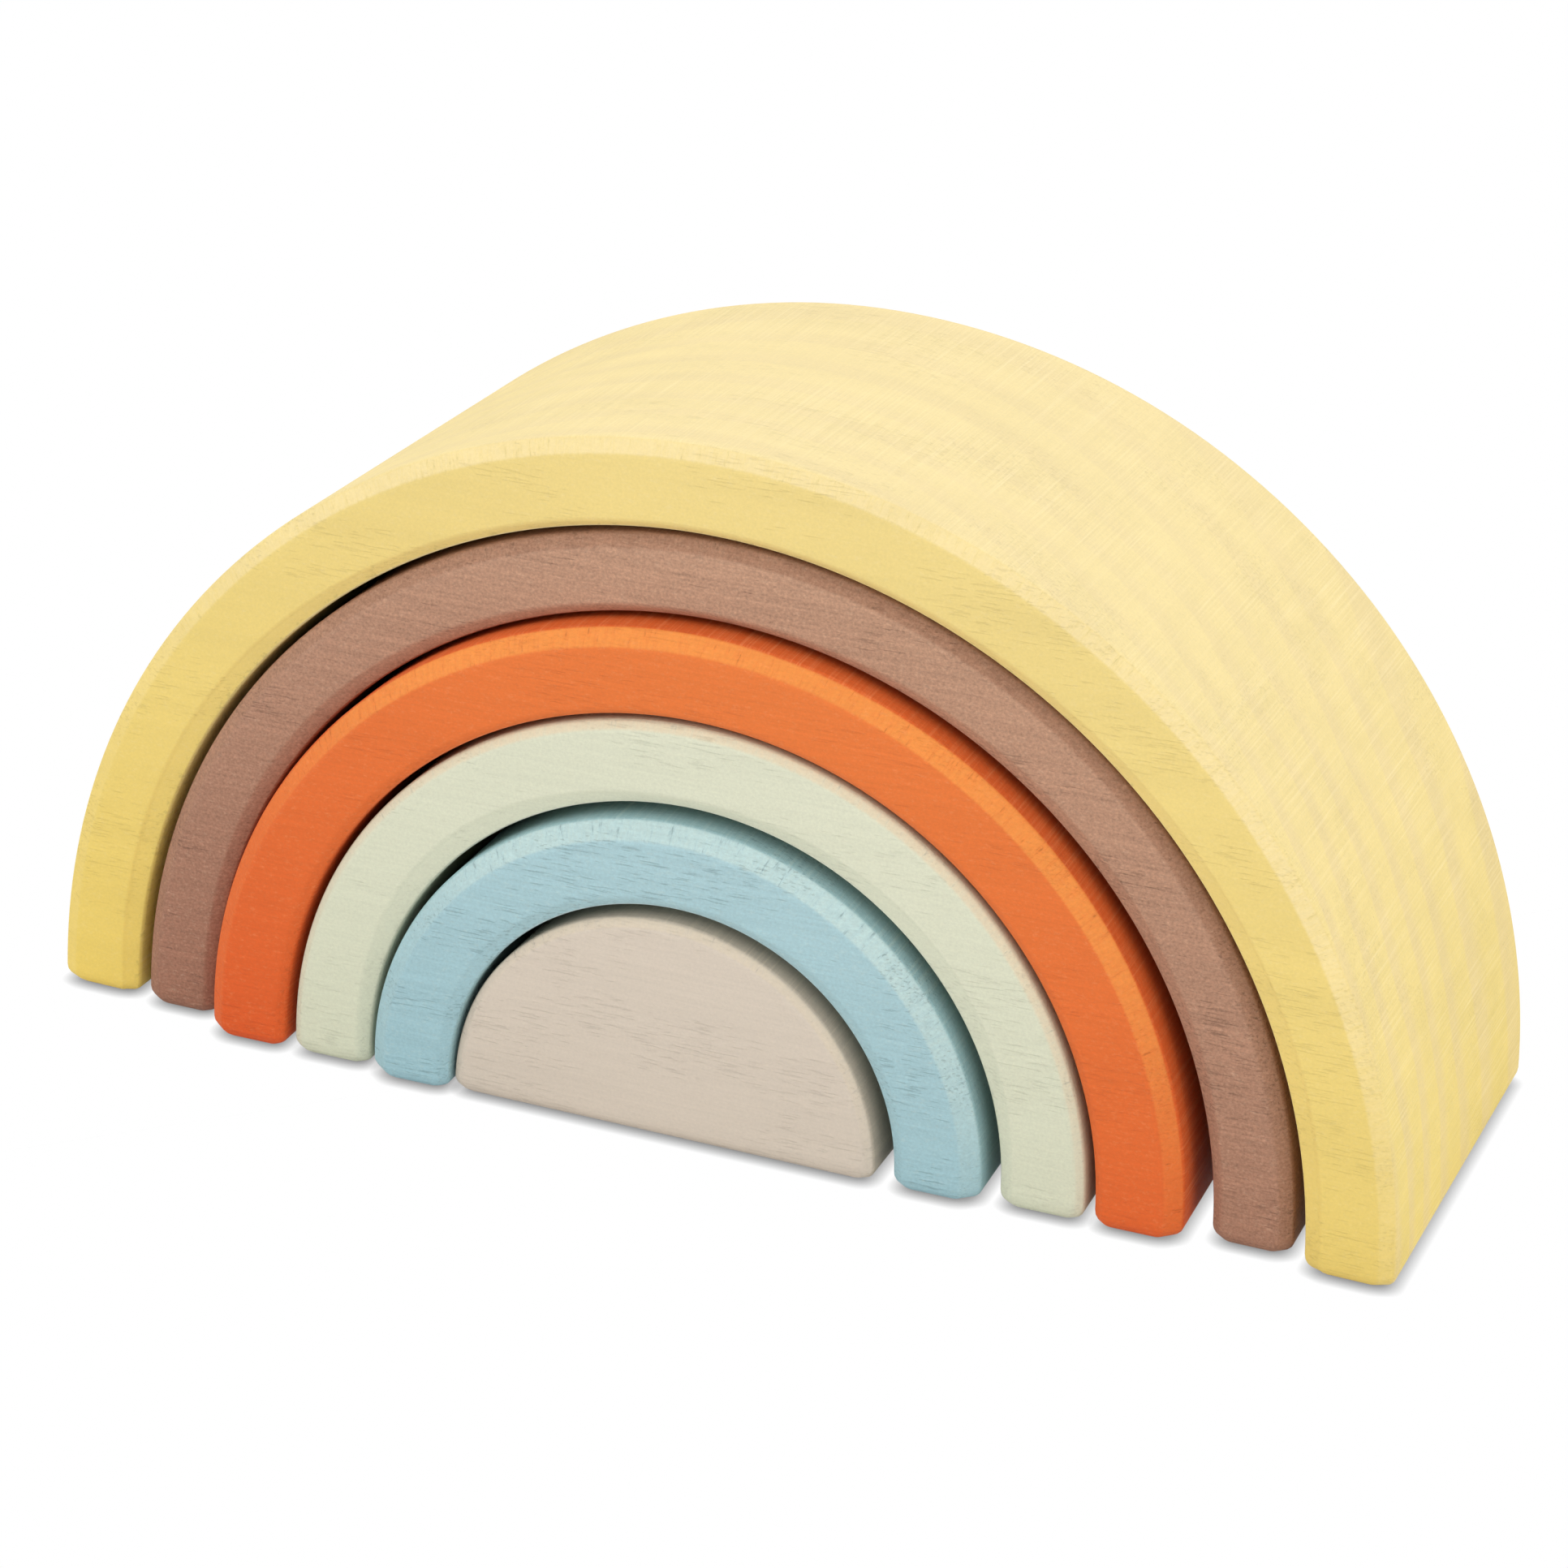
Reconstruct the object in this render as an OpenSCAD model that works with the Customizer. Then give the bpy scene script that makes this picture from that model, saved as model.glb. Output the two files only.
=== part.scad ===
// Rainbow stacker: five wooden arches nested around a solid half disc, all of them loose.
// The origin is on the table under the middle of the largest arch, with X along the front and Z up.
// Each piece is a turned ring cut off at the table, with crowned edge breaks and rounded feet.
// Each piece inside another stands where its neighbour leaves it room, a little askew.

/* [Set] */
// Radius of the largest arch, half its width over the feet
set_r = 100; // [85:0.5:125]
// Depth of every piece from front to back
depth = 67; // [45:0.5:90]

/* [Yellow arch] */
// Wall of the yellow arch
yellow_wall = 12.4; // [9:0.1:15]
// How far the centre of its arc lies below the table
yellow_sink = 0.7; // [0:0.1:2]

/* [Brown arch] */
// Wall of the brown arch
brown_wall = 11.1; // [8:0.1:13]
// Gap on each side of it, inside the yellow arch
brown_gap = 2.1; // [1.2:0.1:4]
// Gap over its top
brown_headroom = 0.9; // [0.6:0.1:3]
// How far it is set back from the yellow arch
brown_back = 0.8; // [-6:0.1:6]
// Share of its side play by which it stands to the right
brown_lean_share = -0.4; // [-0.7:0.01:0.7]
// Share of its side play that it takes up by standing askew
brown_turn_share = 0.37; // [-0.45:0.01:0.45]

/* [Orange arch] */
// Wall of the orange arch
orange_wall = 12; // [9:0.1:14]
// Gap on each side of it, inside the brown arch
orange_gap = 2.5; // [1.2:0.1:5]
// Gap over its top
orange_headroom = 1; // [0.6:0.1:3]
// How far it is set back from the brown arch
orange_back = -3.9; // [-6:0.1:6]
// Share of its side play by which it stands to the right
orange_lean_share = -0.56; // [-0.7:0.01:0.7]
// Share of its side play that it takes up by standing askew
orange_turn_share = 0.2; // [-0.45:0.01:0.45]

/* [Mint arch] */
// Wall of the mint arch
mint_wall = 11.9; // [9:0.1:14]
// Gap on each side of it, inside the orange arch
mint_gap = 1.4; // [1.2:0.1:4]
// Gap over its top
mint_headroom = 0.7; // [0.6:0.1:3]
// How far it is set back from the orange arch
mint_back = 0.1; // [-6:0.1:6]
// Share of its side play by which it stands to the right
mint_lean_share = 0.11; // [-0.7:0.01:0.7]
// Share of its side play that it takes up by standing askew
mint_turn_share = -0.05; // [-0.45:0.01:0.45]

/* [Blue arch] */
// Wall of the blue arch
blue_wall = 12.2; // [9:0.1:15]
// Gap on each side of it, inside the mint arch
blue_gap = 1.6; // [1.2:0.1:4]
// Gap over its top
blue_headroom = 2.1; // [0.6:0.1:3]
// How far it is set back from the mint arch
blue_back = -1.7; // [-6:0.1:6]
// Share of its side play by which it stands to the right
blue_lean_share = -0.7; // [-0.7:0.01:0.7]
// Share of its side play that it takes up by standing askew
blue_turn_share = 0.12; // [-0.45:0.01:0.45]

/* [Half disc] */
// Gap on each side of it, inside the blue arch
cream_gap = 1.5; // [1.2:0.1:4]
// Gap over its top
cream_headroom = 2.1; // [0.6:0.1:4]
// How far it is set back from the blue arch
cream_back = 0.4; // [-6:0.1:6]
// Share of its side play by which it stands to the right
cream_lean_share = -0.5; // [-0.7:0.01:0.7]
// Share of its side play that it takes up by standing askew
cream_turn_share = -0.45; // [-0.45:0.01:0.45]

/* [Edges] */
// Width that an outer edge break takes off each face
outer_break = 2.5; // [1.5:0.1:3.5]
// How much larger the radius of its crown is than that width
outer_swell = 2.5; // [0.3:0.1:4]
// Width that an inner edge break takes off each face
inner_break = 1.8; // [1:0.1:2.5]
// How much larger the radius of its crown is than that width
inner_swell = 1; // [0.3:0.1:2]
// Width that the rounding under the feet takes off each face
foot_break = 2.6; // [1.5:0.1:3.5]
// How much larger the radius of the rounding is than that width
foot_swell = 0.5; // [0.3:0.1:2]

/* [Hidden] */
// Room that is always left between neighbours
clearance = 0.3;
// How far a cut runs past the wood
overrun = 1;
$fn = 120;

// Sizes of the pieces from the outside in; nothing holds the first one, and the last one is solid
walls = [yellow_wall, brown_wall, orange_wall, mint_wall, blue_wall];
gaps = [0, brown_gap, orange_gap, mint_gap, blue_gap, cream_gap];
headrooms = [0, brown_headroom, orange_headroom, mint_headroom, blue_headroom, cream_headroom];
backs = [0, brown_back, orange_back, mint_back, blue_back, cream_back];
lean_shares = [
    0, brown_lean_share, orange_lean_share, mint_lean_share, blue_lean_share, cream_lean_share
];
turn_shares = [
    0, brown_turn_share, orange_turn_share, mint_turn_share, blue_turn_share, cream_turn_share
];

function outer_r(i) = i == 0 ? set_r : inner_r(i - 1) - gaps[i];
function inner_r(i) = i < len(walls) ? outer_r(i) - walls[i] : 0;

// Height of the arc's centre above the table
function rise(i) = i == 0 ? -yellow_sink : rise(i - 1) + gaps[i] - headrooms[i];

// Side play of a piece, and how far and by what angle it stands askew in it
function play(i) = gaps[i] - clearance;
function lean(i) = lean_shares[i] * play(i);
function turn(i) = asin(turn_shares[i] * play(i) / (depth / 2));

// Waste of one edge break, with the edge at the origin and the wood left of it and below it.
// The crown is an arc that runs between the two faces and leaves each at a blunt angle.
module edge_waste(leg, swell) {
    crown = leg + swell;
    inset = (leg + sqrt(2 * crown * crown - leg * leg)) / 2;
    translate([-inset, -inset])
        difference() {
            square(inset + overrun);
            circle(crown);
        }
}

// Section of a piece, with its radius along X and its depth along Y
module section(i) {
    difference() {
        translate([inner_r(i), -depth / 2]) square([outer_r(i) - inner_r(i), depth]);
        for (face = [0, 1]) mirror([0, face]) {
            translate([outer_r(i), depth / 2]) edge_waste(outer_break, outer_swell);
            if (inner_r(i) > 0)
                translate([inner_r(i), depth / 2]) mirror([1, 0]) edge_waste(inner_break, inner_swell);
        }
    }
}

// Everything below the table
module below_table(i) {
    span = 2 * (outer_r(i) + overrun);
    translate([0, 0, -span / 2]) cube([span, depth + 2 * overrun, span], center = true);
}

// Rounding under both feet along one side of the wall, outside (inward 0) or inside (inward 1)
module foot_sides(x, inward) {
    for (foot = [0, 1]) mirror([foot, 0, 0])
        translate([x, 0, 0])
            rotate([90, 0, 0])
                linear_extrude(depth + 2 * overrun, center = true)
                    mirror([inward, 0]) mirror([0, 1]) edge_waste(foot_break, foot_swell);
}

// Rounding under the front and the back
module foot_ends(i) {
    for (face = [0, 1]) mirror([0, face, 0])
        translate([0, depth / 2, 0])
            rotate([90, 0, 90])
                linear_extrude(2 * (outer_r(i) + overrun), center = true)
                    mirror([0, 1]) edge_waste(foot_break, foot_swell);
}

// One piece by itself, standing on the table
module piece(i) {
    difference() {
        translate([0, 0, rise(i)]) rotate([90, 0, 0]) rotate(-90) rotate_extrude() section(i);
        below_table(i);
        foot_sides(outer_r(i), 0);
        if (inner_r(i) > 0) foot_sides(inner_r(i), 1);
        foot_ends(i);
    }
}

// Puts a piece where it stands inside the one around it
module stand(i) {
    if (i == 0)
        children();
    else
        stand(i - 1)
            translate([lean(i), backs[i], 0])
                rotate([0, 0, turn(i)])
                    children();
}

module yellow_arch() color([0.93, 0.83, 0.53]) stand(0) piece(0);
module brown_arch() color([0.68, 0.52, 0.43]) stand(1) piece(1);
module orange_arch() color([0.9, 0.46, 0.24]) stand(2) piece(2);
module mint_arch() color([0.85, 0.86, 0.76]) stand(3) piece(3);
module blue_arch() color([0.66, 0.78, 0.8]) stand(4) piece(4);
module cream_half_disc() color([0.82, 0.77, 0.7]) stand(5) piece(5);

yellow_arch();
brown_arch();
orange_arch();
mint_arch();
blue_arch();
cream_half_disc();
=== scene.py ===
import bpy, bmesh
from math import atan2, cos, degrees, exp, hypot, pi, radians, sin
from mathutils import Matrix, Vector, noise


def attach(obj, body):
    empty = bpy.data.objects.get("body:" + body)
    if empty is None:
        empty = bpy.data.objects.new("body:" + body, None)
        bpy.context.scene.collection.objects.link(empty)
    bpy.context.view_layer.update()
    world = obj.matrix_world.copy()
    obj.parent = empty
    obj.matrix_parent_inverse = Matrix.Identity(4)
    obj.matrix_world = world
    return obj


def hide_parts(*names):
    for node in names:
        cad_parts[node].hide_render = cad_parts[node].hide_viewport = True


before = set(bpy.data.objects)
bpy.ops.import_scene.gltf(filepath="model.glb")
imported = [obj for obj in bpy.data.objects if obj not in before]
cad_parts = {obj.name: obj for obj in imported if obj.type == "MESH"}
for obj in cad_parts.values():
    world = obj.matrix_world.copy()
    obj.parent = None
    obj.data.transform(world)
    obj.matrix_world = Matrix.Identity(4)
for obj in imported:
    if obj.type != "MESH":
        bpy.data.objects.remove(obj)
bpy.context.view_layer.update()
print("frame loaded with", len(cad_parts), "nodes")

mm = 0.001  # every size below is in millimetres

# what all the pieces have in common
stock = {
    "depth": 67,
    "footBreak": 2.6,     # round under the feet
    "footRings": 6,
    "softness": 0.45,     # how far the chamfer's borders are sanded over
    "steps": 256,         # of a full turn
    "waves": 2.2,         # of the chamfer's wander, over one radius
    "facetSpread": 32,    # degrees over which an inner facet widens
    "nearBorder": 0.6,    # what lies this close to a border moves with it
    "sameSpot": 1e-3,     # closer points are one
    "sameLevel": 1e-4,    # closer heights are one
    "onPlane": 1e-5,      # closer points lie on a cut
}


# Paints are written in sRGB, and Blender mixes linear light
def paint(red, green, blue):
    linear = [c / 255 / 12.92 if c < 10 else ((c / 255 + 0.055) / 1.055) ** 2.4 for c in (red, green, blue)]
    return (*linear, 1)


# Shader helpers: feed fills one socket, and each of the others makes one node and gives back its output
def feed(tree, socket, entry):
    if isinstance(entry, bpy.types.NodeSocket):
        tree.links.new(entry, socket)
    else:
        socket.default_value = entry


def calc(tree, operation, *values, clamp=False):
    node = tree.nodes.new("ShaderNodeMath")
    node.operation = operation
    node.use_clamp = clamp
    for socket, value in zip(node.inputs, values):
        feed(tree, socket, value)
    return node.outputs[0]


def ease(tree, value, low, high, toLow=0.0, toHigh=1.0, curve="SMOOTHSTEP"):
    node = tree.nodes.new("ShaderNodeMapRange")
    node.interpolation_type = curve
    names = ("Value", "From Min", "From Max", "To Min", "To Max")
    for name, entry in zip(names, (value, low, high, toLow, toHigh)):
        feed(tree, node.inputs[name], entry)
    return node.outputs["Result"]


def cloud(tree, vector, stretch, detail=2.0, roughness=0.5, shift=0.0):
    stretched = tree.nodes.new("ShaderNodeVectorMath")
    stretched.operation = "MULTIPLY"
    tree.links.new(vector, stretched.inputs[0])
    stretched.inputs[1].default_value = stretch
    node = tree.nodes.new("ShaderNodeTexNoise")
    node.noise_dimensions = "4D"
    tree.links.new(stretched.outputs["Vector"], node.inputs["Vector"])
    node.inputs["W"].default_value = shift
    node.inputs["Scale"].default_value = 1.0
    node.inputs["Detail"].default_value = detail
    node.inputs["Roughness"].default_value = roughness
    return node.outputs[0]


def tint(tree, factor, under, over, blend="MIX"):
    node = tree.nodes.new("ShaderNodeMix")
    node.data_type = "RGBA"
    node.blend_type = blend
    for socket, entry in ((node.inputs[0], factor), (node.inputs[6], under), (node.inputs[7], over)):
        feed(tree, socket, entry)
    return node.outputs[2]


# 1 for what the camera sees straight, in a reflection or through glass, and 0 for light on its way to a surface
def seenStraight(tree):
    path = tree.nodes.new("ShaderNodeLightPath")
    mirrored = calc(tree, "MAXIMUM", path.outputs["Is Glossy Ray"], path.outputs["Is Transmission Ray"])
    return calc(tree, "MAXIMUM", path.outputs["Is Camera Ray"], mirrored)


def newGroup(name, takes, gives):
    tree = bpy.data.node_groups.new(name, "ShaderNodeTree")
    for label, kind in takes:
        tree.interface.new_socket(label, in_out="INPUT", socket_type="NodeSocket" + kind)
    for label, kind in gives:
        tree.interface.new_socket(label, in_out="OUTPUT", socket_type="NodeSocket" + kind)
    return tree, tree.nodes.new("NodeGroupInput").outputs, tree.nodes.new("NodeGroupOutput").inputs


def addGroup(tree, group, **values):
    node = tree.nodes.new("ShaderNodeGroup")
    node.node_tree = group
    for label, value in values.items():
        feed(tree, node.inputs[label.replace("_", " ")], value)
    return node.outputs


# Where a point lies on a turned piece: how far round, how deep and how far out, and a mask for each kind of face
def turnedPlaces():
    wearAndLight = {
        "paintedLight": 0.15, "paintedLightUp": 0.75, "paintedLightRight": 0.12,  # painted light: lighter most at the top and a little to the right
        "edgeLit": 0.05, "edgeLitUp": 0.9, "edgeLitRight": 0.2,  # painted light on the chamfer and inner edge, most over the top and down the right
        "fray": 0.35, "backFray": 0.2, "frayGrain": (1.3, 0.3, 0.3),  # borders of the chamfer
        "nickGrain": (0.7, 0.9, 0.9), "nickFrom": 0.57, "nickFull": 0.62,
    }
    tree, have, give = newGroup(
        "turnedPlaces",
        [("Vector", "Vector"), ("Outer", "Float"), ("Inner", "Float"), ("Half Depth", "Float"), ("Drop", "Float"),
         ("Back", "Float"), ("In Back", "Float")],
        [("Rolled", "Vector"), ("Rim", "Float"), ("Outside", "Float"), ("Inside", "Float"), ("LipHighlight", "Float"),
         ("Right", "Float"), ("PaintedTopLight", "Float"), ("EdgeLitMask", "Float"), ("Nicks", "Float")])
    split = tree.nodes.new("ShaderNodeSeparateXYZ")
    tree.links.new(have["Vector"], split.inputs[0])
    x, y, z = split.outputs
    radius = calc(tree, "SQRT", calc(tree, "ADD", calc(tree, "MULTIPLY", x, x), calc(tree, "MULTIPLY", z, z)))
    deep = calc(tree, "ABSOLUTE", y)
    toRight = calc(tree, "DIVIDE", x, have["Outer"])
    upward = calc(tree, "DIVIDE", z, have["Outer"])
    tree.links.new(toRight, give["Right"])
    # painted light: the colours get lighter towards the top and a little towards the right
    paintedLight = calc(tree, "MULTIPLY_ADD", upward, wearAndLight["paintedLightUp"], wearAndLight["paintedLight"])
    tree.links.new(calc(tree, "MULTIPLY_ADD", toRight, wearAndLight["paintedLightRight"], paintedLight, clamp=True), give["PaintedTopLight"])
    # painted light: the chamfer's paler wear and the inner edge's highlight grow over the top and down the right
    edgeLit = calc(tree, "MULTIPLY_ADD", upward, wearAndLight["edgeLitUp"], wearAndLight["edgeLit"])
    edgeLit = calc(tree, "MULTIPLY_ADD", toRight, wearAndLight["edgeLitRight"], edgeLit)
    tree.links.new(ease(tree, edgeLit, 0.2, 0.8), give["EdgeLitMask"])

    # the turned surface laid flat: along the arc, along the depth, and out from the centre
    rolled = tree.nodes.new("ShaderNodeCombineXYZ")
    tree.links.new(calc(tree, "MULTIPLY", calc(tree, "ARCTAN2", x, z), have["Outer"]), rolled.inputs[0])
    tree.links.new(y, rolled.inputs[1])
    tree.links.new(radius, rolled.inputs[2])
    flat = rolled.outputs[0]
    tree.links.new(flat, give["Rolled"])

    # the chamfer lies past the face's border and over the outside's, and frays at both
    fine = calc(tree, "SUBTRACT", cloud(tree, flat, wearAndLight["frayGrain"], 3, 0.6), 0.5)
    past = calc(tree, "SUBTRACT", radius, calc(tree, "SUBTRACT", have["Outer"], have["Drop"]))
    over = calc(tree, "SUBTRACT", deep, calc(tree, "SUBTRACT", have["Half Depth"], have["Back"]))
    onFront = ease(tree, calc(tree, "MULTIPLY_ADD", fine, wearAndLight["fray"], past), -0.15, 0.3)
    onBack = ease(tree, calc(tree, "MULTIPLY_ADD", fine, wearAndLight["backFray"], over), -0.15, 0.2)
    tree.links.new(calc(tree, "MULTIPLY", onFront, onBack), give["Rim"])
    outside = calc(tree, "MULTIPLY", ease(tree, over, 0.2, -0.15), ease(tree, past, 0.1, 0.8))
    tree.links.new(outside, give["Outside"])

    # inside, and the thin edge where the inner facet meets it, which gets a painted highlight
    above = calc(tree, "SUBTRACT", radius, have["Inner"])
    behind = calc(tree, "SUBTRACT", have["Half Depth"], deep)
    inside = calc(tree, "MULTIPLY", ease(tree, above, 0.3, 0.05), ease(tree, behind, 0.3, 0.8))
    tree.links.new(inside, give["Inside"])
    fromEdge = calc(tree, "ABSOLUTE", calc(tree, "SUBTRACT", behind, have["In Back"]))
    lipHighlight = calc(tree, "MULTIPLY", ease(tree, above, 0.4, 0.2), ease(tree, fromEdge, 0.45, 0.2))
    tree.links.new(lipHighlight, give["LipHighlight"])
    torn = ease(tree, cloud(tree, flat, wearAndLight["nickGrain"], 3, 0.6, 4), wearAndLight["nickFrom"], wearAndLight["nickFull"])
    tree.links.new(calc(tree, "MULTIPLY", torn, ease(tree, above, 0.9, 0.5)), give["Nicks"])
    return tree


# Softwood sawn with its fibres along X: growth rings round a pith behind the board, streaks, pores and fuzz
def softwoodGrain():
    wood = {
        "pithY": 88, "pithZ": 22, "firstRing": 90,
        "ringsPerMm": 0.096, "closing": 0.0007,  # rings lie closer together away from the pith
        "ringWander": 9, "wanderGrain": (0.012, 0.03, 0.03), "ringRagged": 0.5, "raggedGrain": (0.1, 0.9, 0.9),
        "streaks": (0.06, 2.4, 2.6), "dashes": (0.24, 3.4, 3.4), "crowds": (0.03, 0.1, 0.12), "fuzz": (2.4, 2.8, 2.8),
        "lint": (1.1, 2.2, 2.2), "mottle": (0.025, 0.06, 0.07), "bands": (0.014, 0.2, 0.26),
    }
    tree, have, give = newGroup(
        "softwoodGrain", [("Vector", "Vector")],
        [(name, "Float") for name in ("Rings", "Streaks", "Pores", "Fuzz", "Lint", "Mottle", "Bands")])
    spot = have["Vector"]
    split = tree.nodes.new("ShaderNodeSeparateXYZ")
    tree.links.new(spot, split.inputs[0])
    fromPithY = calc(tree, "SUBTRACT", split.outputs[1], wood["pithY"])
    fromPithZ = calc(tree, "SUBTRACT", split.outputs[2], wood["pithZ"])
    squareY, squareZ = (calc(tree, "MULTIPLY", side, side) for side in (fromPithY, fromPithZ))
    squares = calc(tree, "ADD", squareY, squareZ)
    wander = calc(tree, "SUBTRACT", cloud(tree, spot, wood["wanderGrain"]), 0.5)
    ragged = calc(tree, "SUBTRACT", cloud(tree, spot, wood["raggedGrain"], 3), 0.5)
    ring = calc(tree, "MULTIPLY_ADD", wander, wood["ringWander"], calc(tree, "SQRT", squares))
    ring = calc(tree, "MULTIPLY_ADD", ragged, wood["ringRagged"], ring)
    outward = calc(tree, "SUBTRACT", ring, wood["firstRing"])
    closing = calc(tree, "MULTIPLY", calc(tree, "MULTIPLY", outward, outward), wood["closing"])
    year = calc(tree, "MULTIPLY_ADD", outward, wood["ringsPerMm"], closing)
    season = calc(tree, "FRACT", calc(tree, "ADD", year, 20))  # kept above zero
    late = calc(tree, "MULTIPLY", ease(tree, season, 0.4, 0.75), ease(tree, season, 1.0, 0.9))
    tree.links.new(late, give["Rings"])
    # short dark dashes, crowded in some places and missing in others
    dashes = cloud(tree, spot, wood["dashes"], 3, 0.5, 7)
    sparse = ease(tree, cloud(tree, spot, wood["crowds"], 2, 0.5, 3), 0.35, 0.62, 0.7, 0.55)
    tree.links.new(ease(tree, calc(tree, "SUBTRACT", dashes, sparse), 0.0, 0.08), give["Pores"])
    for name, key, detail, roughness, shift in (("Streaks", "streaks", 4, 0.6, 0), ("Fuzz", "fuzz", 3, 0.7, 11),
                                                ("Lint", "lint", 3, 0.7, 17), ("Mottle", "mottle", 3, 0.55, 5),
                                                ("Bands", "bands", 4, 0.55, 23)):
        tree.links.new(cloud(tree, spot, wood[key], detail, roughness, shift), give[name])
    return tree


# Marks of saw and sander: lines across the turned faces, and scratches down the chamfer
def toolMarks():
    tools = {"saw": (2.8, 0.03, 0.3), "sawPatches": (0.04, 0.06, 0.1), "sawLeast": 0.3, "scratch": (1.6, 0.3, 0.3)}
    tree, have, give = newGroup("toolMarks", [("Rolled", "Vector")], [("Saw", "Float"), ("Scratch", "Float")])
    flat = have["Rolled"]
    lines = calc(tree, "SUBTRACT", cloud(tree, flat, tools["saw"], 4, 0.7), 0.5)
    strong = ease(tree, cloud(tree, flat, tools["sawPatches"], 2, 0.5, 9), 0.3, 0.65, tools["sawLeast"], 1.0)
    tree.links.new(calc(tree, "MULTIPLY", lines, strong), give["Saw"])
    tree.links.new(cloud(tree, flat, tools["scratch"], 4, 0.7, 2), give["Scratch"])
    return tree


placesGroup, grainGroup, marksGroup = turnedPlaces(), softwoodGrain(), toolMarks()
print("shader groups ready")


# Thin matt paint on wood, with the grain showing through. The colours also hold painted light: lighter towards the
# top and right, a painted highlight on the inner edge and painted shade on the turned faces
def paintedWood(piece):
    finish = {
        "rimLeast": 0.12, "lipMost": 0.7, "ringsOnTop": 0.4,
        "smooth": 0.58, "rough": 0.74, "gloss": 0.2, "bump": 0.5, "bumpDepth": 0.12,
        "fuzzUp": 0.4, "streaksUp": 0.5, "poresUp": -0.8, "sawnUp": 1.2, "scratchedUp": 1.2,  # shares of the bump
    }
    material = bpy.data.materials.new(piece["name"] + "Paint")
    material.use_nodes = True
    tree = material.node_tree
    shader = tree.nodes["Principled BSDF"]
    at = tree.nodes.new("ShaderNodeTexCoord")
    own = tree.nodes.new("ShaderNodeMapping")  # puts the pattern on the piece's own centre, in millimetres
    own.vector_type = "TEXTURE"
    own.inputs["Location"].default_value = (piece["place"][0] * mm, piece["place"][1] * mm, piece["rise"] * mm)
    own.inputs["Rotation"].default_value = (0, 0, radians(piece["turn"]))
    own.inputs["Scale"].default_value = (mm, mm, mm)
    tree.links.new(at.outputs["Object"], own.inputs["Vector"])
    spot = own.outputs["Vector"]
    places = addGroup(tree, placesGroup, Vector=spot, Outer=piece["outer"], Inner=piece["inner"],
                      Half_Depth=stock["depth"] / 2, Drop=piece["drop"], Back=piece["back"], In_Back=piece["inBack"])
    grain = addGroup(tree, grainGroup, Vector=spot)
    marks = addGroup(tree, marksGroup, Rolled=places["Rolled"])
    onTurned = calc(tree, "MAXIMUM", places["Outside"], places["Inside"])

    # colour of the turned faces: on the inner pieces painted darker than the front, as painted shade in the gaps
    # between the pieces, and paler towards the top as painted light and sheen; the rings show most on the end grain,
    # and the saw leaves the paint uneven
    turned = tint(tree, places["PaintedTopLight"], paint(*piece["rolled"]), paint(*piece["rolledTopLit"]))
    endGrain = ease(tree, places["Right"], 0.5, 1.0, piece["rings"] * finish["ringsOnTop"], piece["rings"])
    turned = tint(tree, calc(tree, "MULTIPLY", grain["Rings"], endGrain), turned, paint(*piece["late"]))
    turned = tint(tree, ease(tree, marks["Saw"], -0.03, 0.2, 0.0, piece["sawn"]), turned, paint(*piece["bare"]))
    # colour of the front, then of its worn chamfer, made stronger over the top and down the right as painted light,
    # its thin inner edge with a painted highlight, and the lint of bare wood
    # the front is painted lighter towards the top and the right: painted light
    front = tint(tree, places["PaintedTopLight"], paint(*piece["face"]), paint(*piece["faceTopLit"]))
    colour = tint(tree, onTurned, front, turned)
    # the chamfer's paler colour is wear, made stronger over the top and right as painted light
    wornAndLit = calc(tree, "MULTIPLY", ease(tree, marks["Scratch"], 0.3, 0.6, 0.55, 1.0),
                ease(tree, places["EdgeLitMask"], 0, 1, finish["rimLeast"], 1.0, "LINEAR"))
    colour = tint(tree, calc(tree, "MULTIPLY", places["Rim"], wornAndLit), colour, paint(*piece["rim"]))
    # painted highlight: a pale line along the inner edge where it catches the light, over the top and right
    edge = calc(tree, "MULTIPLY", places["LipHighlight"], calc(tree, "MULTIPLY", places["EdgeLitMask"], finish["lipMost"]))
    colour = tint(tree, edge, colour, paint(*piece["lipHighlight"]))
    colour = tint(tree, ease(tree, grain["Lint"], 0.5, 0.8, 0.0, piece["lint"]), colour, paint(*piece["bare"]))

    # light and dark of grain and tool marks
    tone = 1.0
    for mark, amount in ((grain["Mottle"], "mottle"), (grain["Bands"], "bands"), (grain["Fuzz"], "fuzz"),
                         (grain["Streaks"], "streaks")):
        tone = calc(tree, "MULTIPLY_ADD", calc(tree, "SUBTRACT", mark, 0.5), piece[amount], tone)
    sawn = calc(tree, "MULTIPLY", marks["Saw"], onTurned)
    pitted = calc(tree, "MULTIPLY", places["Rim"], ease(tree, marks["Scratch"], 0.42, 0.3))
    for mark, amount in ((sawn, piece["sawn"]), (pitted, -piece["pits"]), (grain["Pores"], -piece["pores"]),
                         (places["Nicks"], -piece["nicks"])):
        tone = calc(tree, "MULTIPLY_ADD", mark, amount, tone)
    grey = tree.nodes.new("ShaderNodeCombineColor")
    for socket in grey.inputs:
        tree.links.new(tone, socket)
    tree.links.new(tint(tree, 1.0, colour, grey.outputs[0], "MULTIPLY"), shader.inputs["Base Color"])
    tree.links.new(ease(tree, grain["Fuzz"], 0.3, 0.7, finish["smooth"], finish["rough"]), shader.inputs["Roughness"])
    shader.inputs["Specular IOR Level"].default_value = finish["gloss"]

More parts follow.
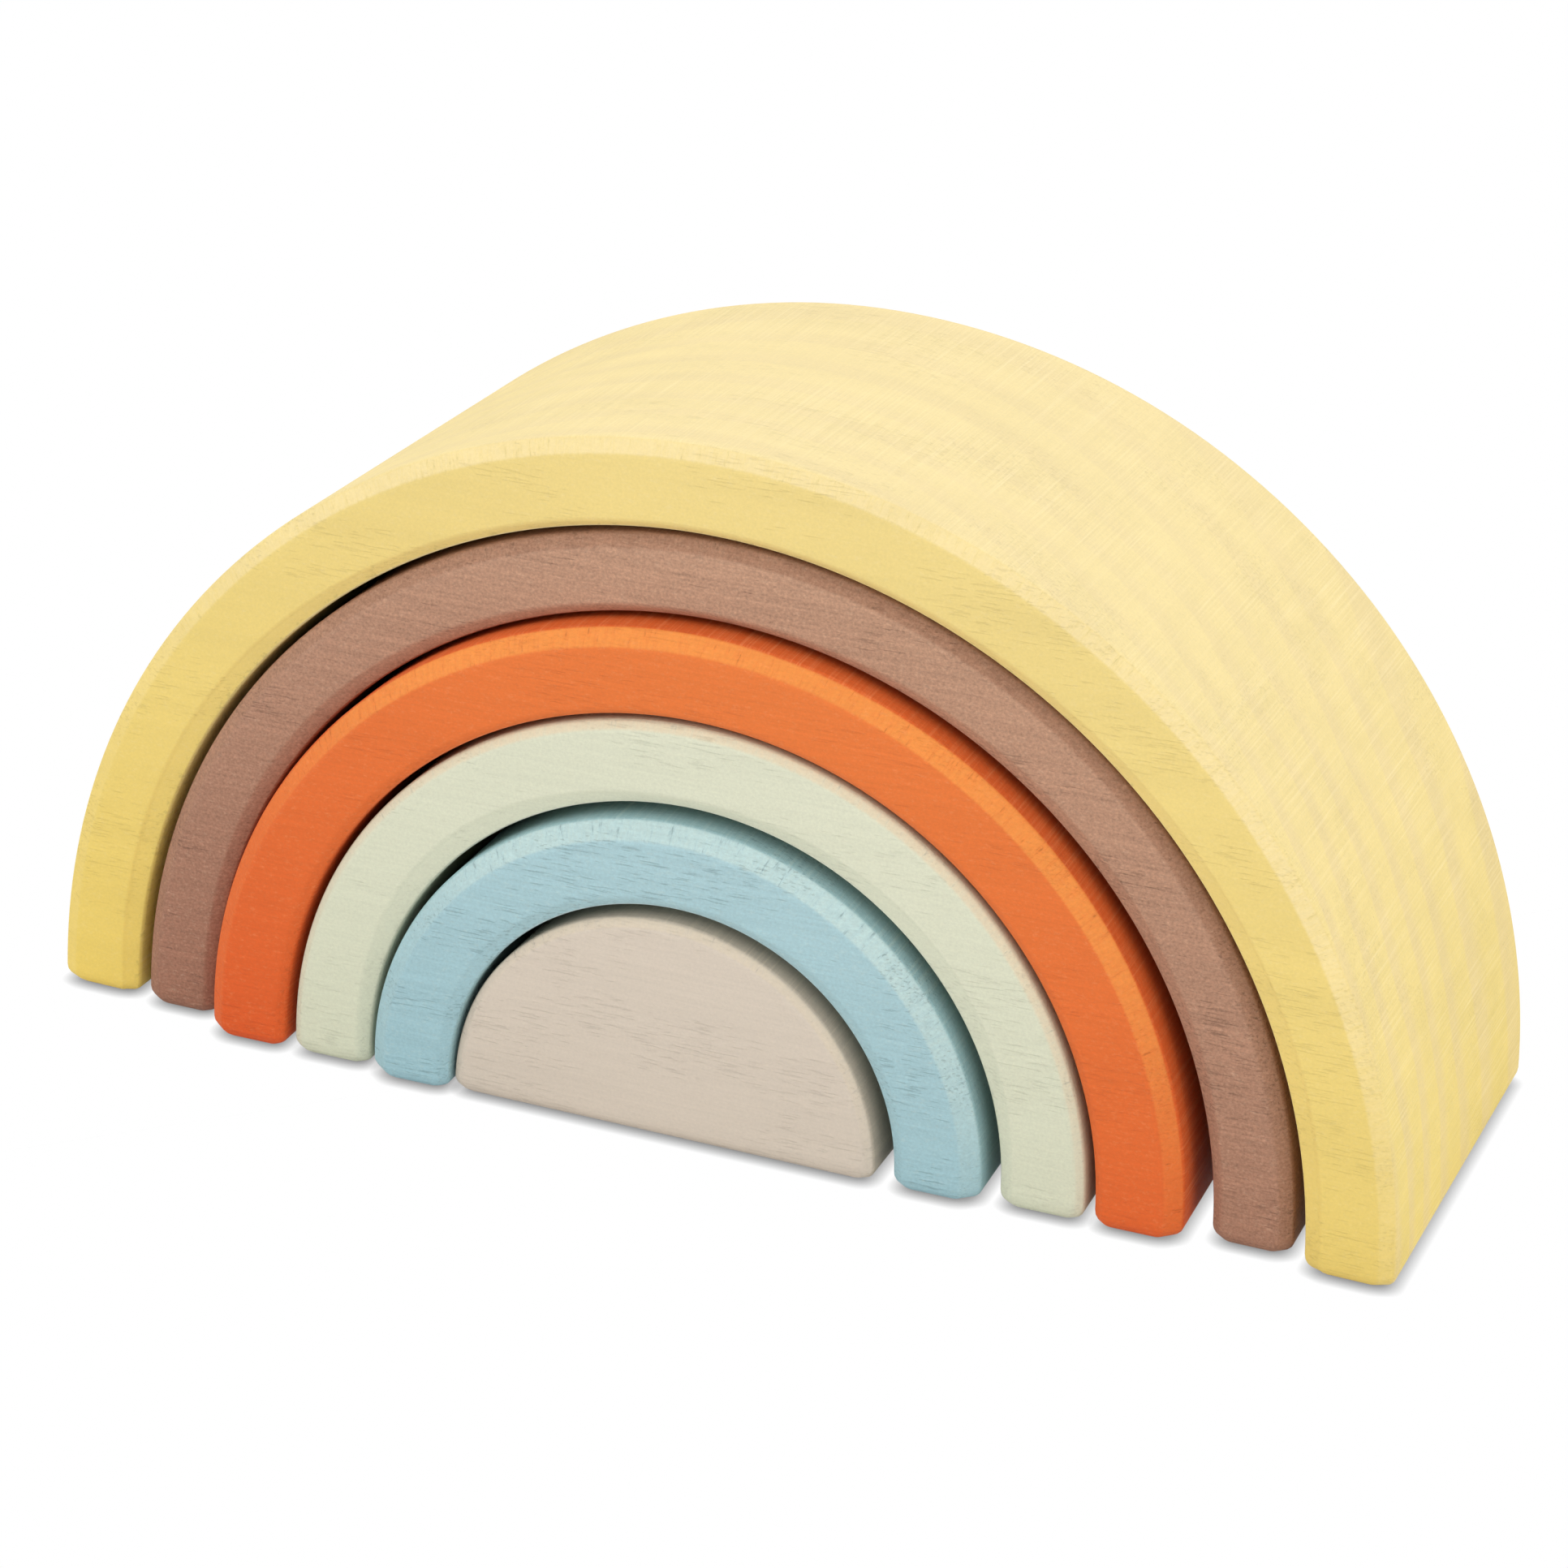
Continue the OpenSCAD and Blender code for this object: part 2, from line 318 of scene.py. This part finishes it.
    # fuzz, streaks and saw lines stand up a little, and pores lie deeper
    scratched = calc(tree, "MULTIPLY", marks["Scratch"], places["Rim"])
    height = calc(tree, "MULTIPLY", grain["Fuzz"], finish["fuzzUp"])
    for mark, amount in ((grain["Streaks"], "streaksUp"), (grain["Pores"], "poresUp"), (sawn, "sawnUp"),
                         (scratched, "scratchedUp")):
        height = calc(tree, "MULTIPLY_ADD", mark, finish[amount], height)
    bump = tree.nodes.new("ShaderNodeBump")
    bump.inputs["Strength"].default_value = finish["bump"]
    bump.inputs["Distance"].default_value = finish["bumpDepth"] * mm
    tree.links.new(height, bump.inputs["Height"])
    tree.links.new(bump.outputs["Normal"], shader.inputs["Normal"])
    return material


# A ring of wood turned from its section, cut off at the table, with rounded feet
def turnedPiece(piece):
    outer, inner, half = piece["outer"], piece["inner"], stock["depth"] / 2
    bm = bmesh.new()
    drop, back = piece["drop"], piece["back"]  # the outer chamfer's share of the front and of the outside
    inDrop, inBack = piece["inDrop"], piece["inBack"]  # the inner facet's share of the front and of the inside
    outline = [(outer - drop, -half), (outer, back - half), (outer, half - back), (outer - drop, half)]
    if inner:
        outline += [(inner + inDrop, half), (inner, half - inBack), (inner, inBack - half), (inner + inDrop, -half)]
    else:
        outline += [(0, half), (0, -half)]
    corners = [bm.verts.new((r, y, 0)) for r, y in outline]
    bm.faces.new(corners)
    for edges, reach in ((corners[:4], back), (corners[4:] if inner else [], inBack)):
        bmesh.ops.bevel(bm, geom=edges, offset=min(stock["softness"], reach * 0.45), offset_type="OFFSET",
                        segments=3, profile=0.5, affect="VERTICES", material=-1)
    bmesh.ops.delete(bm, geom=bm.faces[:], context="FACES_ONLY")
    if not inner:  # the disc has no wall along its middle
        middleEdges = [e for e in bm.edges if all(v.co.x < stock["sameLevel"] for v in e.verts)]
        bmesh.ops.delete(bm, geom=middleEdges, context="EDGES")
    bmesh.ops.spin(bm, geom=bm.verts[:] + bm.edges[:], cent=(0, 0, 0), axis=(0, 1, 0), dvec=(0, 0, 0),
                   angle=2 * pi, steps=stock["steps"], use_merge=True)
    bmesh.ops.remove_doubles(bm, verts=bm.verts[:], dist=stock["sameSpot"])

    # the sander's hand: the chamfer is wider here and narrower there, and the inner facet widens down the legs
    for vert in bm.verts:
        x, y, z = vert.co
        r = hypot(x, z)
        waves = stock["waves"] / outer
        wander = piece["wander"] * noise.noise(Vector((waves * x, waves * z, piece["seed"] + (5 if y > 0 else 0))))
        if abs(y) > half - 0.35 * back and abs(r - outer + drop) < stock["nearBorder"]:
            vert.co.x, vert.co.z = x * (r - wander) / r, z * (r - wander) / r
        elif r > outer - 0.35 * drop:
            vert.co.y = y - wander * back / drop if y > 0 else y + wander * back / drop
        elif inner and abs(y) > half - 0.4 * inBack and abs(r - inner - inDrop) < stock["nearBorder"]:
            fromMost = (degrees(abs(atan2(x, z))) - piece["inMost"]) / stock["facetSpread"]
            more = piece["inMore"] * exp(-fromMost ** 2)
            vert.co.x, vert.co.z = x * (r + more) / r, z * (r + more) / r

    bmesh.ops.translate(bm, vec=(0, 0, piece["rise"]), verts=bm.verts[:])
    bmesh.ops.bisect_plane(bm, geom=bm.verts[:] + bm.edges[:] + bm.faces[:], dist=stock["onPlane"],
                           plane_co=(0, 0, 0), plane_no=(0, 0, 1), clear_inner=True)
    # the feet draw in towards the table as a quarter round
    foot = stock["footBreak"]
    for k in range(stock["footRings"]):
        level = foot * (1 - sin(pi / 2 * k / stock["footRings"]))
        bmesh.ops.bisect_plane(bm, geom=bm.verts[:] + bm.edges[:] + bm.faces[:], dist=stock["onPlane"],
                               plane_co=(0, 0, level), plane_no=(0, 0, 1))
    heights = {}
    for vert in bm.verts:
        if vert.co.z < foot - stock["sameLevel"]:
            heights.setdefault((round(vert.co.z, 4), vert.co.x > 0 if inner else 0), []).append(vert)
    for (height, onRight), ring in heights.items():
        inset = foot * (1 - (1 - (1 - height / foot) ** 2) ** 0.5)
        middle = (outer + inner) / 2 * (1 if onRight else -1) if inner else 0
        reach = (outer - inner) / 2 if inner else outer
        bmesh.ops.scale(bm, vec=(1 - inset / reach, 1 - inset / half, 1), verts=ring,
                        space=Matrix.Translation((-middle, 0, 0)))
    bmesh.ops.holes_fill(bm, edges=[e for e in bm.edges if e.is_boundary], sides=0)
    bmesh.ops.recalc_face_normals(bm, faces=bm.faces[:])

    turned = Matrix.Rotation(radians(piece["turn"]), 4, "Z")
    place = Matrix.Translation((piece["place"][0], piece["place"][1], 0)) @ turned
    bmesh.ops.transform(bm, matrix=Matrix.Scale(mm, 4) @ place, verts=bm.verts[:])
    for face in bm.faces:
        face.smooth = True
    mesh = bpy.data.meshes.new(piece["name"])
    bm.to_mesh(mesh)
    bm.free()
    made = bpy.data.objects.new(piece["name"], mesh)
    bpy.context.scene.collection.objects.link(made)
    even = made.modifiers.new("evenShading", "WEIGHTED_NORMAL")
    even.keep_sharp = True
    made.data.materials.append(paintedWood(piece))
    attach(made, piece["body"])
    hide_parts(piece["node"])
    print(piece["name"], "has", len(mesh.polygons), "faces")


# Each piece has its size and place, the legs of its chamfer and inner facet, its paints, and how far each mark shows.
# inMore is how much wider the inner facet gets at inMost degrees from the top.
# faceTopLit and rolledTopLit are the paints where the light falls most: painted light
turnedPiece({
    "name": "yellowArch", "node": "yellow_arch", "body": "yellow", "slot": "yellow_paint",
    "outer": 100, "inner": 87.6, "rise": -0.7, "place": (0, 0), "turn": 0,
    "drop": 2.3, "back": 1.0, "inDrop": 1.1, "inBack": 1.2, "inMore": 1.6, "inMost": 68, "wander": 0.4, "seed": 1,
    "face": (234, 205, 103), "faceTopLit": (241, 217, 144), "rolled": (233, 205, 88), "rolledTopLit": (248, 228, 173),
    "late": (224, 200, 165), "rim": (247, 225, 165), "lipHighlight": (250, 236, 180), "bare": (252, 238, 200),
    "rings": 0.28, "mottle": 0.1, "fuzz": 0.2, "streaks": 0.05, "sawn": 0.27,
    "pores": 0.06, "pits": 0.12, "lint": 0.14, "bands": 0.14, "nicks": 0.12,
})

turnedPiece({
    "name": "brownArch", "node": "brown_arch", "body": "brown", "slot": "brown_paint",
    "outer": 85.5, "inner": 74.4, "rise": 0.5, "place": (-0.72, 0.8), "turn": 1.1391,
    "drop": 2.0, "back": 1.4, "inDrop": 1.2, "inBack": 1.2, "inMore": 0.9, "inMost": 52, "wander": 0.4, "seed": 2,
    "face": (155, 110, 90), "faceTopLit": (192, 151, 124), "rolled": (150, 106, 86), "rolledTopLit": (165, 122, 99),
    "late": (140, 100, 84), "rim": (168, 126, 102), "lipHighlight": (186, 140, 116), "bare": (204, 170, 144),
    "rings": 0.4, "mottle": 0.14, "fuzz": 1.2, "streaks": 0.6, "sawn": 0.3,
    "pores": 0.22, "pits": 0.25, "lint": 0.45, "bands": 0.1, "nicks": 0.15,
})

turnedPiece({
    "name": "orangeArch", "node": "orange_arch", "body": "orange", "slot": "orange_paint",
    "outer": 71.9, "inner": 59.9, "rise": 2, "place": (-1.8742, -3.1237), "turn": 1.8917,
    "drop": 2.4, "back": 2.0, "inDrop": 0.9, "inBack": 1.1, "inMore": 0.3, "inMost": 60, "wander": 0.5, "seed": 3,
    "face": (221, 92, 40), "faceTopLit": (236, 128, 63), "rolled": (222, 92, 38), "rolledTopLit": (230, 108, 50),
    "late": (208, 88, 42), "rim": (243, 149, 72), "lipHighlight": (246, 150, 100), "bare": (246, 176, 120),
    "rings": 0.4, "mottle": 0.1, "fuzz": 0.28, "streaks": 0.2, "sawn": 0.3,
    "pores": 0.05, "pits": 0.28, "lint": 0.22, "bands": 0.06, "nicks": 0.12,
})

turnedPiece({
    "name": "mintArch", "node": "mint_arch", "body": "mint", "slot": "mint_paint",
    "outer": 58.5, "inner": 46.6, "rise": 2.7, "place": (-1.7566, -3.0198), "turn": 1.7976,
    "drop": 1.3, "back": 0.9, "inDrop": 1.4, "inBack": 1.1, "inMore": 1.6, "inMost": 48, "wander": 0.3, "seed": 4,
    "face": (212, 215, 190), "faceTopLit": (224, 225, 201), "rolled": (206, 206, 180), "rolledTopLit": (214, 213, 188),
    "late": (200, 196, 170), "rim": (227, 217, 187), "lipHighlight": (236, 236, 220), "bare": (232, 222, 196),
    "rings": 0.4, "mottle": 0.06, "fuzz": 0.3, "streaks": 0.16, "sawn": 0.3,
    "pores": 0.08, "pits": 0.2, "lint": 0.15, "bands": 0.04, "nicks": 0.08,
})

turnedPiece({
    "name": "blueArch", "node": "blue_arch", "body": "blue", "slot": "blue_paint",
    "outer": 45, "inner": 32.8, "rise": 2.2, "place": (-2.6128, -4.7475), "turn": 2.0645,
    "drop": 2.6, "back": 2.0, "inDrop": 1.3, "inBack": 1.1, "inMore": 0.6, "inMost": 52, "wander": 0.4, "seed": 5,
    "face": (157, 193, 201), "faceTopLit": (175, 206, 211), "rolled": (148, 184, 190), "rolledTopLit": (160, 194, 198),
    "late": (145, 176, 180), "rim": (191, 215, 213), "lipHighlight": (215, 232, 236), "bare": (216, 224, 210),
    "rings": 0.4, "mottle": 0.06, "fuzz": 0.4, "streaks": 0.32, "sawn": 0.3,
    "pores": 0.19, "pits": 0.35, "lint": 0.26, "bands": 0.05, "nicks": 0.08,
})

turnedPiece({
    "name": "creamHalfDisc", "node": "cream_half_disc", "body": "half_disc", "slot": "cream_paint",
    "outer": 31.3, "inner": 0, "rise": 1.6, "place": (-3.2268, -4.3694), "turn": 1.1408,
    "drop": 1.3, "back": 0.9, "inDrop": 0, "inBack": 0, "wander": 0.3, "seed": 6,
    "face": (210, 197, 181), "faceTopLit": (218, 205, 189), "rolled": (196, 182, 164), "rolledTopLit": (204, 190, 172),
    "late": (186, 172, 154), "rim": (220, 205, 183), "lipHighlight": (208, 195, 179), "bare": (228, 212, 186),
    "rings": 0.4, "mottle": 0.06, "fuzz": 0.22, "streaks": 0.16, "sawn": 0.3,
    "pores": 0.07, "pits": 0.25, "lint": 0.14, "bands": 0.04, "nicks": 0,
})

# white table; the camera sees it plain white, and darker only close to the feet
table = {"halfWidth": 6000, "white": 0.85, "shadowReach": 1.9, "shadowDark": 0.24}
bm = bmesh.new()
bmesh.ops.create_grid(bm, x_segments=1, y_segments=1, size=table["halfWidth"] * mm)
tableMesh = bpy.data.meshes.new("table")
bm.to_mesh(tableMesh)
bm.free()
tableTop = bpy.data.objects.new("table", tableMesh)
bpy.context.scene.collection.objects.link(tableTop)
tableMaterial = bpy.data.materials.new("tableWhite")
tableMaterial.use_nodes = True
tree = tableMaterial.node_tree
tree.nodes.clear()
matt = tree.nodes.new("ShaderNodeBsdfDiffuse")
matt.inputs["Color"].default_value = (table["white"], table["white"], table["white"], 1)
near = tree.nodes.new("ShaderNodeAmbientOcclusion")
near.inputs["Distance"].default_value = table["shadowReach"] * mm
glow = tree.nodes.new("ShaderNodeEmission")
shadow = ease(tree, near.outputs["AO"], 0.0, 1.0, table["shadowDark"], 1.0, "LINEAR")
tree.links.new(shadow, glow.inputs["Color"])
either = tree.nodes.new("ShaderNodeMixShader")
tree.links.new(seenStraight(tree), either.inputs[0])
tree.links.new(matt.outputs[0], either.inputs[1])
tree.links.new(glow.outputs[0], either.inputs[2])
tree.links.new(either.outputs[0], tree.nodes.new("ShaderNodeOutputMaterial").inputs["Surface"])
tableMesh.materials.append(tableMaterial)

# even studio light: a white room, bright screens round the front, dark behind the camera so that the gaps stay dark
studio = {"room": 1.03, "screens": 1.88, "behindCamera": 0.12, "ceiling": 0.78}
world = bpy.data.worlds.new("studio")
bpy.context.scene.world = world
world.use_nodes = True
tree = world.node_tree
back = tree.nodes["Background"]
back.inputs["Color"].default_value = (1, 1, 1, 1)
towards = tree.nodes.new("ShaderNodeSeparateXYZ")
tree.links.new(tree.nodes.new("ShaderNodeTexCoord").outputs["Generated"], towards.inputs[0])
forward = calc(tree, "MULTIPLY", towards.outputs[1], -1)
lit = calc(tree, "MINIMUM", ease(tree, forward, 0.1, 0.45, studio["room"], studio["screens"]),
           ease(tree, forward, 0.7, 0.92, studio["screens"], studio["behindCamera"]))
lit = calc(tree, "MULTIPLY", lit, ease(tree, towards.outputs[2], 0.3, 1.0, 1.0, studio["ceiling"]))
tree.links.new(ease(tree, seenStraight(tree), 0, 1, lit, 1.0, "LINEAR"), back.inputs["Strength"])

# the photograph's view
view = {"azimuth": 22.353, "elevation": 24.049, "roll": 2.029, "target": (-1.285, 0, 38.571), "distance": 588.833,
        "focalPixels": 5158.43, "imagePixels": 1932, "sensor": 36, "farthest": 20000}
turn, rise, roll = radians(view["azimuth"]), radians(view["elevation"]), radians(view["roll"])
behind = Vector((sin(turn) * cos(rise), -cos(turn) * cos(rise), sin(rise)))
right = Vector((0, 0, 1)).cross(behind).normalized()
up = behind.cross(right)
right, up = right * cos(roll) + up * sin(roll), up * cos(roll) - right * sin(roll)
lens = bpy.data.cameras.new("view")
lens.sensor_width = view["sensor"]
lens.lens = view["focalPixels"] / view["imagePixels"] * view["sensor"]
lens.clip_end = view["farthest"] * mm
camera = bpy.data.objects.new("view", lens)
camera.matrix_world = Matrix.Translation((Vector(view["target"]) + behind * view["distance"]) * mm) @ Matrix(
    (right, up, behind)).transposed().to_4x4()
bpy.context.scene.collection.objects.link(camera)
bpy.context.scene.camera = camera
bpy.context.scene.view_settings.view_transform = "Standard"
print("camera, light and table ready")
